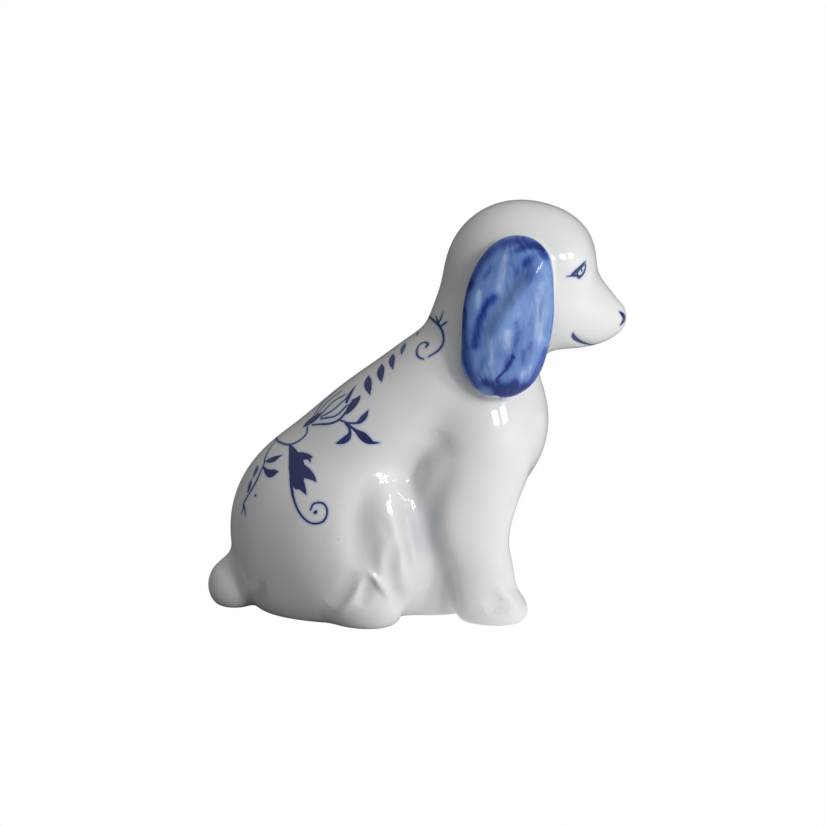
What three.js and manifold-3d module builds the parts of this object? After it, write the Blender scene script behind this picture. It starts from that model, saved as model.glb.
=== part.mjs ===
// A seated spaniel figurine in glazed porcelain, as the separate slip castings that are luted
// together before the firing: a hollow torso and a hollow head, two ears, two forelegs, two hind
// paws and a stub tail.
// Millimetres, +Z up, +X towards the nose, +Y to the dog's left. The origin is the middle of the
// figurine's bounding box, on the surface that it stands on.
import * as THREE from 'three';
import { mergeVertices } from 'three/addons/utils/BufferGeometryUtils.js';
import Module from 'manifold-3d';

const wasm = await Module();
wasm.setup();

// Driving dimensions
const WALL = 3.2; // of the two hollow castings
const LUTE_GAP = 0.3; // between two castings, for the slip that joins them
const VENT_RADIUS = 6.7; // the hole in the base that drains the slip and vents the kiln gas
const VENT_X = -10;
const NECK_AT = new THREE.Vector3(15, 0, 66); // a point of the joint between torso and head
const NECK_TILT = 24; // degrees that the joint falls towards the chest
const FORELEG_STAGGER = 2.5; // the left foreleg stands this far behind the right one
const BLEND = 1.8; // how softly two lumps of one casting run into each other

const RIGHT = -1;
const LEFT = 1;
const FAR = 200; // longer than anything here

// An ellipsoid of clay, as a distance function. The tilt turns it about Y, nose down for a
// positive angle, and the roll about X.
function lump(x, y, z, radiusX, radiusY, radiusZ, tilt = 0, roll = 0) {
  const turn = new THREE.Euler(THREE.MathUtils.degToRad(roll), THREE.MathUtils.degToRad(tilt), 0);
  const toLocal = new THREE.Matrix4().makeRotationFromEuler(turn).setPosition(x, y, z).invert();
  const radii = new THREE.Vector3(radiusX, radiusY, radiusZ);
  const local = new THREE.Vector3();
  const gradient = new THREE.Vector3();
  return (p) => {
    local.copy(p).applyMatrix4(toLocal).divide(radii);
    const reach = local.length();
    gradient.copy(local).divide(radii);
    return (reach * (reach - 1)) / Math.max(gradient.length(), 1e-9);
  };
}

// A rounded roll of clay between two points, with a radius at each end.
function roll(from, to, radiusFrom, radiusTo) {
  const start = new THREE.Vector3(...from);
  const along = new THREE.Vector3(...to).sub(start);
  const local = new THREE.Vector3();
  return (p) => {
    local.copy(p).sub(start);
    const share = THREE.MathUtils.clamp(local.dot(along) / along.lengthSq(), 0, 1);
    const radius = THREE.MathUtils.lerp(radiusFrom, radiusTo, share);
    return local.addScaledVector(along, -share).length() - radius;
  };
}

// The blended surface of several lumps: negative inside, and about a distance outside.
function blended(lumps) {
  return (p) => -BLEND * Math.log(lumps.reduce((sum, d) => sum + Math.exp(-d(p) / BLEND), 0));
}

// The same lump on both sides of the dog
const pair = (make) => [make(RIGHT), make(LEFT)];

const headLumps = [
  lump(23.2, 0, 79.5, 16.8, 15, 16.8), // skull
  lump(30.4, 0, 84.5, 9.2, 10.5, 8.6), // forehead
  lump(36.6, 0, 70.8, 9.6, 8.4, 7.2, 25), // muzzle
  roll([39, 0, 72], [44.6, 0, 69.4], 5, 3.2), // nose
  lump(31, 0, 71, 10.5, 11.5, 7.8), // jaw
  ...pair((side) => lump(32, side * 7.5, 83.5, 6.3, 5, 4.6)), // brows
];

const torsoLumps = [
  lump(-19.4, 0, 19, 24.6, 19.5, 25), // rump
  lump(-18.5, 0, 8, 22.5, 17, 13), // seat
  lump(-9, 0, 41.8, 35, 17, 14.2, -38), // back and ribs
  lump(13.8, 0, 45.2, 16.8, 16.5, 19), // chest
  lump(16, 0, 66, 13.2, 12.5, 16, 10), // neck
  lump(5, 0, 54.4, 13.5, 14, 11, -42), // withers
  lump(4, 0, 20, 17, 14, 27), // belly
  ...pair((side) => lump(-14, side * 12.8, 19, 17.5, 10.6, 18.5)), // haunches
  ...pair((side) => lump(14, side * 10.5, 38, 11, 8.6, 16)), // shoulders
];

const trunkField = blended([...torsoLumps, ...headLumps]);
const TORSO_AXIS = [[-15, 0, 22], [15, 0, 61]];
const HEAD_AXIS = [[18, 0, 69], [29, 0, 78]];

// A solid whose surface is where the field has the given level, found by looking in along the
// rays that leave an axis at right angles, and that spread out from its two ends.
function sculpt(field, [from, to], rings, around, level = 0) {
  const axis = new THREE.Line3(new THREE.Vector3(...from), new THREE.Vector3(...to));
  const along = axis.delta(new THREE.Vector3());
  const middle = axis.getCenter(new THREE.Vector3());
  const geometry = new THREE.CapsuleGeometry(1, along.length(), rings, around, rings);
  const up = new THREE.Vector3(0, 1, 0);
  geometry.applyQuaternion(new THREE.Quaternion().setFromUnitVectors(up, along.normalize()));
  geometry.translate(middle.x, middle.y, middle.z);
  const positions = geometry.getAttribute('position');
  const vertex = new THREE.Vector3();
  const root = new THREE.Vector3();
  const ray = new THREE.Vector3();
  for (let i = 0; i < positions.count; i++) {
    vertex.fromBufferAttribute(positions, i);
    axis.closestPointToPoint(vertex, true, root);
    ray.copy(vertex).sub(root).normalize();
    let reach = FAR / 2;
    for (let step = 0; step < 200 && reach > 0.2; step++) {
      const gap = field(vertex.copy(root).addScaledVector(ray, reach)) - level;
      if (gap < 1e-3) break;
      reach -= 0.6 * gap;
    }
    vertex.copy(root).addScaledVector(ray, Math.max(reach, 0.2));
    positions.setXYZ(i, vertex.x, vertex.y, vertex.z);
  }
  return solidOf(geometry);
}

// A manifold-3d solid from a closed geometry, and a geometry back from a solid
function solidOf(geometry) {
  geometry.deleteAttribute('normal');
  geometry.deleteAttribute('uv');
  const merged = mergeVertices(geometry, 1e-3);
  return new wasm.Manifold(
    new wasm.Mesh({
      numProp: 3,
      vertProperties: merged.getAttribute('position').array,
      triVerts: new Uint32Array(merged.index.array),
    }),
  );
}

function geometryOf(solid) {
  const { vertProperties, triVerts } = solid.getMesh();
  const geometry = new THREE.BufferGeometry();
  geometry.setAttribute('position', new THREE.BufferAttribute(vertProperties, 3));
  geometry.setIndex(new THREE.BufferAttribute(triVerts, 1));
  geometry.computeVertexNormals();
  return geometry;
}

// Everything above a height, and everything on the head's side of the neck joint
const halfSpace = () => new THREE.BoxGeometry(FAR, FAR, FAR).translate(0, 0, FAR / 2);
const above = (height) => solidOf(halfSpace().translate(0, 0, height));
const beyondNeck = (gap) =>
  solidOf(
    halfSpace()
      .translate(0, 0, gap)
      .rotateY(THREE.MathUtils.degToRad(NECK_TILT))
      .translate(...NECK_AT.toArray()),
  );

// The hollow runs on through the neck, from the torso into the head.
function torsoCasting() {
  const outside = sculpt(trunkField, TORSO_AXIS, 13, 44);
  const hollow = sculpt(trunkField, TORSO_AXIS, 8, 24, -WALL).intersect(above(WALL));
  const vent = new THREE.CylinderGeometry(VENT_RADIUS, VENT_RADIUS, 4 * WALL, 24)
    .rotateX(Math.PI / 2)
    .translate(VENT_X, 0, 0);
  return outside
    .intersect(above(0))
    .subtract(beyondNeck(0))
    .subtract(hollow)
    .subtract(solidOf(vent));
}

function headCasting() {
  const outside = sculpt(trunkField, HEAD_AXIS, 9, 40);
  const hollow = sculpt(trunkField, HEAD_AXIS, 6, 22, -WALL);
  return outside.intersect(beyondNeck(LUTE_GAP)).subtract(hollow);
}

// What the smaller castings are cut back by, where they sit on the torso and the head
const torsoClearance = sculpt(trunkField, TORSO_AXIS, 13, 44, LUTE_GAP);
const headClearance = sculpt(trunkField, HEAD_AXIS, 9, 40, LUTE_GAP);

function earCasting(side) {
  const field = blended([
    lump(22.8, side * 15.4, 83.2, 7, 3.4, 6, 0, side * 9), // top, towards the eye
    lump(16.6, side * 15.4, 82.2, 6.8, 3.4, 6.6, 0, side * 9), // top, towards the nape
    lump(20, side * 16.2, 73, 10.8, 3.6, 12, 0, side * 5), // middle
    lump(19, side * 16.8, 61.6, 9.3, 3.4, 7, 0, side * 2), // tip
  ]);
  return sculpt(field, [[20, side * 15.8, 82], [19.6, side * 17, 64]], 5, 26)
    .subtract(headClearance)
    .subtract(torsoClearance);
}

function forelegCasting(side) {
  const x = side === LEFT ? -FORELEG_STAGGER : 0;
  const field = blended([
    lump(x + 9.8, side * 12, 27, 12, 7.6, 16), // upper leg
    lump(x + 14.4, side * 13, 10, 7.8, 6, 11), // lower leg
    lump(x + 19.4, side * 13.4, 3, 6, 5.2, 4.4), // paw
  ]);
  return sculpt(field, [[x + 11, side * 12, 28], [x + 16.5, side * 13.2, 4]], 7, 26)
    .intersect(above(0))
    .subtract(torsoClearance);
}

function hindPawCasting(side) {
  const field = blended([
    lump(-12.2, side * 15.4, 4.6, 8.2, 6, 6.4), // paw
    roll([-15.5, side * 16, 9.5], [-9.5, side * 15.6, 4.8], 4.4, 4.4), // instep
  ]);
  return sculpt(field, [[-14, side * 14.6, 5], [-10, side * 14.8, 4]], 6, 24)
    .intersect(above(0))
    .subtract(torsoClearance);
}

function tailCasting() {
  const field = blended([
    roll([-37, 0, 12.6], [-43.6, 0, 6.2], 5.4, 5.2), // stub
    lump(-43, 0, 3.6, 5.2, 5.2, 4), // underside
  ]);
  return sculpt(field, [[-43, 0, 5], [-40.5, 0, 8]], 6, 24)
    .intersect(above(0))
    .subtract(torsoClearance);
}

const glazed = (color) => new THREE.MeshStandardMaterial({ color, roughness: 0.12, metalness: 0 });
const whiteGlaze = glazed(0xf1f1ef);
const cobaltGlaze = glazed(0x5c80c2);

const castings = new Map([
  ['torso', [torsoCasting(), whiteGlaze]],
  ['head', [headCasting(), whiteGlaze]],
  ['tail', [tailCasting(), whiteGlaze]],
]);
for (const [name, side] of [['left', LEFT], ['right', RIGHT]]) {
  castings.set(`ear_${name}`, [earCasting(side), cobaltGlaze]);
  castings.set(`foreleg_${name}`, [forelegCasting(side), whiteGlaze]);
  castings.set(`hind_paw_${name}`, [hindPawCasting(side), whiteGlaze]);
}

const figurine = new THREE.Group();
for (const [name, [casting, material]] of castings) {
  const mesh = new THREE.Mesh(geometryOf(casting), material);
  mesh.name = name;
  figurine.add(mesh);
}

// The lumps are placed about the belly, so each casting is moved to put the origin in the middle.
const middle = new THREE.Box3().setFromObject(figurine).getCenter(new THREE.Vector3());
figurine.children.forEach((mesh) => mesh.geometry.translate(-middle.x, -middle.y, 0));

export default figurine;
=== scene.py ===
"""The looks of the seated porcelain dog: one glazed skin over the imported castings, its cobalt
painting, and a small studio. Sculpting is done in millimetres and the meshes are made in metres."""
import math

import bpy
import numpy as np
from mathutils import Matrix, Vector


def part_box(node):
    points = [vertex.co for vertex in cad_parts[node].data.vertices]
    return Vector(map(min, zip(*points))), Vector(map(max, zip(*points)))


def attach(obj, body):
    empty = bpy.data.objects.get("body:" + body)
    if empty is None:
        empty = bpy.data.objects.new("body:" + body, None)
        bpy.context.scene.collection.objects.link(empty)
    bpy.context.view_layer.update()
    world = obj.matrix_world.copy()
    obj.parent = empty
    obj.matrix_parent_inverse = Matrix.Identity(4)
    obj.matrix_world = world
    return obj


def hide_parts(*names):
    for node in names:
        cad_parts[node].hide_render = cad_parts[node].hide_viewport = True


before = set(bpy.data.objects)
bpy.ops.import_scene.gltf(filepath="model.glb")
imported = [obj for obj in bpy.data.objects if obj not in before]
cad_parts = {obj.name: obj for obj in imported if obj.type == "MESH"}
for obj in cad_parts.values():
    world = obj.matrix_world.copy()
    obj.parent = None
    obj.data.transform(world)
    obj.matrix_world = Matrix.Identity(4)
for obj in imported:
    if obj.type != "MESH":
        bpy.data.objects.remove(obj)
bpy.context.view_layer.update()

MM = 0.001
RIGHT, LEFT = -1, 1
BLEND = 1.8
GRID = 0.7
NOSE_REACH = 48.2  # how far the nose reaches in front of the belly, where the lumps are placed from
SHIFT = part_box("head")[1].x / MM - NOSE_REACH
VENT_X, VENT_RADIUS, VENT_DEPTH = SHIFT - 10, 6.7, 16
NECK = np.array([SHIFT + 15, 0, 66])
NECK_TILT = math.radians(24)


# ---------------------------------------------------------------- the clay, as distance functions
class Lump:
    """An ellipsoid of clay. Tilt turns it nose down about Y, roll turns it about X."""

    def __init__(self, x, y, z, rx, ry, rz, tilt=0, roll=0):
        t, r = math.radians(tilt), math.radians(roll)
        about_x = np.array([[1, 0, 0], [0, math.cos(r), -math.sin(r)], [0, math.sin(r), math.cos(r)]])
        about_y = np.array([[math.cos(t), 0, math.sin(t)], [0, 1, 0], [-math.sin(t), 0, math.cos(t)]])
        self.turn = about_x @ about_y
        self.centre = np.array([x + SHIFT, y, z], float)
        self.radii = np.array([rx, ry, rz], float)
        self.span = np.full(3, max(rx, ry, rz))
        self.low, self.high = self.centre - self.span, self.centre + self.span

    def __call__(self, p):
        q = ((p - self.centre) @ self.turn) / self.radii
        k = np.linalg.norm(q, axis=-1)
        g = np.linalg.norm(q / self.radii, axis=-1)
        return k * (k - 1) / np.maximum(g, 1e-9)


class Roll:
    """A rounded roll of clay between two points."""

    def __init__(self, start, end, r0, r1):
        shift = np.array([SHIFT, 0, 0])
        self.start, self.end = start + shift, end + shift
        self.r0, self.r1 = r0, r1
        self.low = np.minimum(self.start, self.end) - max(r0, r1)
        self.high = np.maximum(self.start, self.end) + max(r0, r1)

    def __call__(self, p):
        along = self.end - self.start
        share = np.clip((p - self.start) @ along / (along @ along), 0, 1)
        gap = p - self.start - share[..., None] * along
        return np.linalg.norm(gap, axis=-1) - (self.r0 + (self.r1 - self.r0) * share)


def pair(make):
    return [make(RIGHT), make(LEFT)]


HEAD_LUMPS = [
    Lump(23.2, 0, 79.5, 16.8, 15, 16.8),  # skull
    Lump(30.4, 0, 84.5, 9.2, 10.5, 8.6),  # forehead
    Lump(36.6, 0, 70.8, 9.6, 8.4, 7.2, 25),  # muzzle
    Roll((39, 0, 72), (44.6, 0, 69.4), 5, 3.2),  # nose
    Lump(31, 0, 71, 10.5, 11.5, 7.8),  # jaw
    *pair(lambda side: Lump(31.4, side * 7.4, 83.4, 6.9, 5.4, 5.4)),  # brows
]
TORSO_LUMPS = [
    Lump(-19.4, 0, 19, 24.6, 19.5, 25),  # rump
    Lump(-18.5, 0, 8, 22.5, 17, 13),  # seat
    Lump(-9, 0, 41.8, 35, 17, 14.2, -38),  # back and ribs
    Lump(13.8, 0, 45.2, 16.8, 16.5, 19),  # chest
    Lump(16, 0, 66, 13.2, 12.5, 16, 10),  # neck
    Lump(5, 0, 54.4, 13.5, 14, 11, -42),  # withers
    Lump(4, 0, 20, 17, 14, 27),  # belly
    *pair(lambda side: Lump(-14, side * 12.8, 19, 17.5, 10.6, 18.5)),  # haunches
    *pair(lambda side: Lump(14, side * 10.5, 38, 11, 8.6, 16)),  # shoulders
]


def ear_lumps(side):
    return [
        Lump(20.3, side * 16.0, 72.4, 10.2, 3.7, 17.3, 5, side * 6),
        Lump(24.2, side * 14.9, 83.2, 4.6, 3.0, 5.2, 0, side * 9),
        Lump(18.4, side * 16.9, 61.6, 7.8, 3.2, 6.8, 0, side * 2),
    ]


def foreleg_lumps(side):
    x = -2.5 if side == LEFT else 0
    return [
        Lump(x + 9.8, side * 12, 27, 12, 7.6, 16),
        Lump(x + 14.4, side * 13, 10, 7.8, 6, 11),
        Lump(x + 19.4, side * 13.4, 3, 6, 5.2, 4.4),
    ]


def hind_paw_lumps(side):
    return [
        Lump(-12.2, side * 15.4, 4.6, 8.2, 6, 6.4),
        Roll((-15.5, side * 16, 9.5), (-9.5, side * 15.6, 4.8), 4.4, 4.4),
    ]


TAIL_LUMPS = [
    Roll((-37, 0, 12.6), (-43.6, 0, 6.2), 5.4, 5.2),
    Lump(-43, 0, 3.6, 5.2, 5.2, 4),
]


class Part:
    """Lumps that blend into one casting, and how softly it meets the trunk."""

    def __init__(self, lumps, fillet):
        self.lumps, self.fillet = lumps, fillet
        self.low = np.min([l.low for l in lumps], axis=0)
        self.high = np.max([l.high for l in lumps], axis=0)

    def __call__(self, p):
        total = np.zeros(len(p))
        for l in self.lumps:
            total += np.exp(-np.clip(l(p), -30, 60) / BLEND)
        return -BLEND * np.log(np.maximum(total, 1e-30))


TRUNK = Part(TORSO_LUMPS + HEAD_LUMPS, 0)
PARTS = {"tail": Part(TAIL_LUMPS, 2.0)}
for name, side in (("left", LEFT), ("right", RIGHT)):
    PARTS[f"ear_{name}"] = Part(ear_lumps(side), 0.9)
    PARTS[f"foreleg_{name}"] = Part(foreleg_lumps(side), 3.0)
    PARTS[f"hind_paw_{name}"] = Part(hind_paw_lumps(side), 2.6)


def soft_min(a, b, k):
    h = np.maximum(k - np.abs(a - b), 0) / k
    return np.minimum(a, b) - h * h * k / 4


def clay(p):
    """The blended clay without its tooling: negative inside, about a distance outside."""
    f = TRUNK(p)
    for part in PARTS.values():
        near = np.all((p > part.low - 5) & (p < part.high + 5), axis=1)
        if near.any():
            f[near] = soft_min(f[near], part(p[near]), part.fillet)
    f = -soft_min(-f, p[:, 2], 1.2)
    vent = np.hypot(p[:, 0] - VENT_X, p[:, 1]) - VENT_RADIUS
    return -soft_min(-f, np.maximum(vent, p[:, 2] - VENT_DEPTH), 0.8)


def line_gap(p, line, radii=None):
    """Distance to a line of points, less the radius along it."""
    best = np.full(len(p), 1e9)
    for i in range(len(line) - 1):
        along = line[i + 1] - line[i]
        share = np.clip((p - line[i]) @ along / max(along @ along, 1e-12), 0, 1)
        gap = np.linalg.norm(p - line[i] - share[:, None] * along, axis=1)
        if radii is not None:
            gap = gap - (radii[i] + (radii[i + 1] - radii[i]) * share)
        np.minimum(best, gap, out=best)
    return best


def cast(start, way, reach):
    """The first point along each ray where it crosses the clay's surface."""
    steps = np.arange(0, reach, 0.5)
    p = start[:, None] + steps[:, None] * way[:, None]
    inside = (clay(p.reshape(-1, 3)) < 0).reshape(len(start), -1)
    first = np.argmax(inside != inside[:, :1], axis=1)
    near, far = steps[np.maximum(first - 1, 0)], steps[first]
    for _ in range(10):
        middle = (near + far) / 2
        crossed = (clay(start + middle[:, None] * way) < 0) != inside[:, 0]
        near, far = np.where(crossed, near, middle), np.where(crossed, middle, far)
    return start + far[:, None] * way


def on_side(x, z, side):
    """Points of the flank, face or ear, given as they are seen straight from that side."""
    start = np.stack([x, np.full_like(x, side * 34.0), z], 1)
    return cast(start, np.tile([0.0, -side, 0.0], (len(x), 1)), 33)


BACK_FOOT = np.array([SHIFT - 15, 0, 22])
BACK_WAY = np.array([30, 0, 39]) / math.hypot(30, 39)
BACK_OUT = np.array([-BACK_WAY[2], 0, BACK_WAY[0]])


def on_back(along, round_, side):
    """Points of the back: millimetres up the body's axis, and degrees down from the spine."""
    turn = np.radians(round_)[:, None]
    way = np.cos(turn) * BACK_OUT + np.sin(turn) * np.array([0, side, 0])
    return cast(BACK_FOOT + along[:, None] * BACK_WAY, way, 40)


def smooth_line(points, step):
    """A Catmull-Rom curve through the points, whatever their columns mean."""
    p = np.array(points, float)
    p = np.concatenate([[2 * p[0] - p[1]], p, [2 * p[-1] - p[-2]]])
    out = []
    for i in range(1, len(p) - 2):
        n = max(2, int(np.abs(p[i + 1] - p[i])[:2].max() / step) + 1)
        t = np.linspace(0, 1, n, endpoint=False)[:, None]
        out.append(p[i] + 0.5 * t * (p[i + 1] - p[i - 1] + t * (
            2 * p[i - 1] - 5 * p[i] + 4 * p[i + 1] - p[i + 2]
            + t * (3 * p[i] - p[i - 1] - 3 * p[i + 1] + p[i + 2]))))
    return np.concatenate(out + [p[-2:-1]])


# Grooves (depth above 0) and ridges (below 0) on both flanks: half width, depth, then points as
# millimetres forward and up.
FLANK_TOOLING = [
    (2.6, 1.3, [(7.6, 39), (6.8, 36), (5.6, 33.5), (4.2, 30), (3.1, 26.4), (3.3, 21.7), (5.2, 16.7),
                (7.2, 10.2), (8.9, 4)]),
    (1.8, 1.3, [(3.9, 28), (3.3, 24.5), (3.4, 21), (4.6, 17.5), (5.6, 14.5)]),  # deepest behind the elbow
    (1.9, 1.0, [(6.2, 13.0), (7.6, 9), (8.8, 5), (9.4, 2.5)]),
    (5.5, 1.2, [(0.5, 43), (-0.5, 35), (-0.5, 26), (0.5, 18), (2, 8)]),  # the skirt lies behind the haunch
    (1.2, 0.5, [(-4.2, 31), (-3.2, 28.4), (-2.2, 24.4)]),  # the skirt's locks
    (1.2, 0.5, [(-0.6, 30.4), (-1.7, 26.9), (-2.2, 22.4)]),
    (1.1, 0.5, [(-2.3, 25), (-1.5, 20.6), (-1.1, 14.6)]),
    (1.3, 0.45, [(-7.9, 28), (-6.9, 25.6), (-5.4, 21.6)]),
    (1.3, 0.6, [(-8.6, 22.6), (-9.6, 19.4), (-9.3, 15.0)]),
    (1.5, 1.0, [(-3.6, 21), (-4.9, 17.6), (-5.2, 14.0), (-3.9, 8.0)]),
    (1.4, -0.3, [(-0.4, 27), (-0.5, 23), (0.0, 18), (1.8, 11)]),
    (1.2, -0.3, [(-5.0, 26), (-4.0, 22.5), (-3.0, 18.4), (-2.8, 11)]),
    (1.3, -0.3, [(-7.6, 20.5), (-7.4, 17), (-6.9, 13.5)]),
    (4.1, 1.9, [(-9.4, 36), (-10.6, 31), (-11.2, 26), (-10.6, 20), (-9.4, 11)]),  # the front of the haunch
    (0.95, -0.7, [(-11.6, 16.2), (-9.6, 13.7), (-7.8, 11.2), (-5.2, 7.2)]),  # the heel's fur
    (1.1, -0.65, [(-11.2, 14.4), (-12.8, 10.6), (-14.6, 7.7), (-17.8, 4.2)]),
    (1.6, 0.9, [(-9.9, 13.2), (-11.0, 9.8), (-12.8, 6.2)]),
    (2.2, 0.8, [(-13.0, 15.0), (-15.6, 10.4), (-19.4, 6.2)]),
    (1.8, 0.8, [(-5.2, 10.6), (-3.2, 6.6), (-2.2, 2.2)]),
    (3.4, 0.5, [(6.9, 46), (6.2, 43.0), (6.8, 39.5)]),  # behind the shoulder
    (1.2, 0.7, [(-35.0, 9.6), (-36.2, 6.0), (-37.6, 3.0)]),  # folds of the tail
    (1.3, -0.5, [(-37.6, 9.0), (-39.2, 5.4), (-39.6, 2.6)]),
]
PAW_TOOLING = [
    (2.2, 0.6, [(16.0, 4.6), (18.0, 5.4), (20.2, 5.4), (22.4, 6.4)]),  # above the outer toe
    (1.4, -0.5, [(18.6, 10.0), (20.6, 7.6), (23.0, 6.4)]),
]
FACE_TOOLING = [
    (2.4, 0.5, [(41.0, 84.0), (38.8, 81.4), (36.8, 79.2)]),  # the eye's hollow
    (1.2, 0.35, [(35.6, 67.6), (36.9, 65.3), (38.6, 64.2), (42, 63.2)]),  # the mouth
    (2.0, -0.5, [(30.6, 51.4), (30.9, 49.6), (30.4, 47.6)]),  # tufts of the chest
    (1.8, 0.5, [(26.0, 30.6), (23.6, 28.6), (20.6, 27.6)]),
]
EAR_TOOLING = [
    (1.7, -1.5, [(29.0, 86.0), (26.4, 81.6), (23.9, 78.0), (21.3, 74.4), (18.9, 70.8), (17.2, 67.4)]),
    (2.6, 0.8, [(30.6, 82), (28.0, 77.0), (25.4, 73.0), (22.4, 68)]),
    (2.4, 0.45, [(24.6, 85.6), (21.6, 80.6), (19.4, 77.2), (17.0, 73.2)]),
    (2.6, 0.4, [(16.4, 79.5), (15.0, 73.5), (14.6, 68), (14.8, 62)]),
    (1.1, 0.3, [(22.4, 66.0), (20.2, 61.4), (17.6, 57.4)]),
]
TOOLING = []
for side in (RIGHT, LEFT):
    behind = -2.5 if side == LEFT else 0  # the left foreleg stands a little behind the right one
    for group, step_back in ((FLANK_TOOLING + FACE_TOOLING + EAR_TOOLING, 0), (PAW_TOOLING, behind)):
        for width, depth, points in group:
            x, z = smooth_line(points, 0.8).T
            line = on_side(x + step_back, z, side)
            for _ in range(3):  # the tool doesn't follow every dip
                line[1:-1, 1] = (line[:-2, 1] + line[1:-1, 1] + line[2:, 1]) / 3
            TOOLING.append((line, width, depth))
TOOLING.append((np.array([[SHIFT - 37.5, y, 14.5 - y * y / 14] for y in range(-7, 8)], float), 1.4, 0.9))


def nearest(p, line):
    """The distance to a line of points, and the share of its length where that is."""
    best, share = np.full(len(p), 1e9), np.zeros(len(p))
    for i in range(len(line) - 1):
        along = line[i + 1] - line[i]
        t = np.clip((p - line[i]) @ along / max(along @ along, 1e-12), 0, 1)
        gap = np.linalg.norm(p - line[i] - t[:, None] * along, axis=1)
        closer = gap < best
        best[closer], share[closer] = gap[closer], (i + t[closer]) / (len(line) - 1)
    return best, share


def tooling(p):
    """How deep the tool went in at each point; each stroke of it fades at both ends."""
    out = np.zeros(len(p))
    for line, width, depth in TOOLING:
        reach = 2.5 * width
        near = np.all((p > line.min(0) - reach) & (p < line.max(0) + reach), axis=1)
        if near.any():
            gap, share = nearest(p[near], line)
            fade = np.sin(np.pi * (0.03 + 0.94 * share))
            out[near] += depth * fade * np.exp(-((gap / width) ** 2))
    return out


def skin(p):
    """The clay with its tooling."""
    return clay(p) + tooling(p)


def slope(f, p, step=0.04):
    """The gradient, from four points of a tetrahedron."""
    corners = np.array([[1, -1, -1], [-1, -1, 1], [-1, 1, -1], [1, 1, 1]], float)
    return sum(c * f(p + c * step)[:, None] for c in corners) / (4 * step)


def settle(f, p, rounds=2):
    """Moves points onto the surface."""
    for _ in range(rounds):
        g = slope(f, p)
        p = p - (f(p) / np.maximum((g * g).sum(1), 0.05))[:, None] * g
    return p


# ---------------------------------------------------------------- a mesh of the skin
def surface_net(f, low, high, h):
    """Quads on the zero surface of f: one vertex in each grid cell that it crosses."""
    block = 4
    n = (np.ceil((high - low) / (h * block)).astype(int)) * block + 1
    coarse_axes = [low[a] + h * block * np.arange((n[a] - 1) // block + 1) for a in range(3)]
    coarse = np.stack(np.meshgrid(*coarse_axes, indexing="ij"), -1)
    c = f(coarse.reshape(-1, 3)).reshape(coarse.shape[:3])
    small = np.abs(c) < h * block * 2
    cells = np.zeros(np.array(c.shape) - 1, bool)
    for i in (0, 1):
        for j in (0, 1):
            for k in (0, 1):
                cells |= small[i:c.shape[0] - 1 + i, j:c.shape[1] - 1 + j, k:c.shape[2] - 1 + k]

    def spread(grid):
        for a in range(3):
            grid = np.repeat(grid, block, axis=a)
            grid = np.concatenate([grid, np.take(grid, [-1], axis=a)], axis=a)
        return grid

    values = spread(np.where(c[:-1, :-1, :-1] < 0, -9.0, 9.0))
    wanted = spread(cells)
    # a grid node between two blocks belongs to both
    for a in range(3):
        at = np.arange(block, n[a] - 1, block)
        before = np.take(wanted, at - 1, axis=a)
        index = [slice(None)] * 3
        index[a] = at
        wanted[tuple(index)] |= before
    where = np.argwhere(wanted)
    out = np.empty(len(where))
    for s in range(0, len(where), 200000):
        out[s:s + 200000] = f(low + h * where[s:s + 200000])
    values[tuple(where.T)] = out

    inside = values < 0
    total = np.zeros(np.array(values.shape) - 1, np.int8)
    for i in (0, 1):
        for j in (0, 1):
            for k in (0, 1):
                total += inside[i:n[0] - 1 + i, j:n[1] - 1 + j, k:n[2] - 1 + k]
    active = (total > 0) & (total < 8)
    cell = np.argwhere(active)
    ids = np.full(active.shape, -1)
    ids[active] = np.arange(len(cell))
    place, count = np.zeros((len(cell), 3)), np.zeros(len(cell))
    for a in range(3):
        b, d = (a + 1) % 3, (a + 2) % 3
        for ob in (0, 1):
            for od in (0, 1):
                p0 = cell.copy()
                p0[:, b] += ob
                p0[:, d] += od
                p1 = p0.copy()
                p1[:, a] += 1
                v0, v1 = values[tuple(p0.T)], values[tuple(p1.T)]
                hit = (v0 < 0) != (v1 < 0)
                point = p0[hit].astype(float)
                point[:, a] += v0[hit] / (v0[hit] - v1[hit])
                place[hit] += point
                count[hit] += 1
    verts = low + h * place / count[:, None]
    quads = []
    for a in range(3):
        b, d = (a + 1) % 3, (a + 2) % 3
        first = np.take(inside, np.arange(n[a] - 1), axis=a)
        second = np.take(inside, np.arange(1, n[a]), axis=a)
        edge = np.argwhere(first != second)
        edge = edge[(edge[:, b] > 0) & (edge[:, d] > 0)]
        ring = []
        for ob, od in ((-1, -1), (0, -1), (0, 0), (-1, 0)):
            at = edge.copy()
            at[:, b] += ob
            at[:, d] += od
            ring.append(ids[tuple(at.T)])
        ring = np.stack(ring, 1)
        back = ~first[tuple(edge.T)]
        ring[back] = ring[back][:, ::-1]
        quads.append(ring)
    return verts, np.concatenate(quads)


def relax(f, verts, quads, rounds=3, share=0.6):
    """Evens the mesh out along the surface: each point moves that share of the way to its neighbours."""
    a = quads.ravel()
    b = np.roll(quads, 1, axis=1).ravel()
    for _ in range(rounds):
        near, count = np.zeros_like(verts), np.zeros(len(verts))
        for i, j in ((a, b), (b, a)):
            count += np.bincount(i, minlength=len(verts))
            for axis in range(3):
                near[:, axis] += np.bincount(i, verts[j, axis], len(verts))
        verts = settle(f, verts + share * (near / count[:, None] - verts), 1)
    return settle(f, verts, 1)


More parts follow.
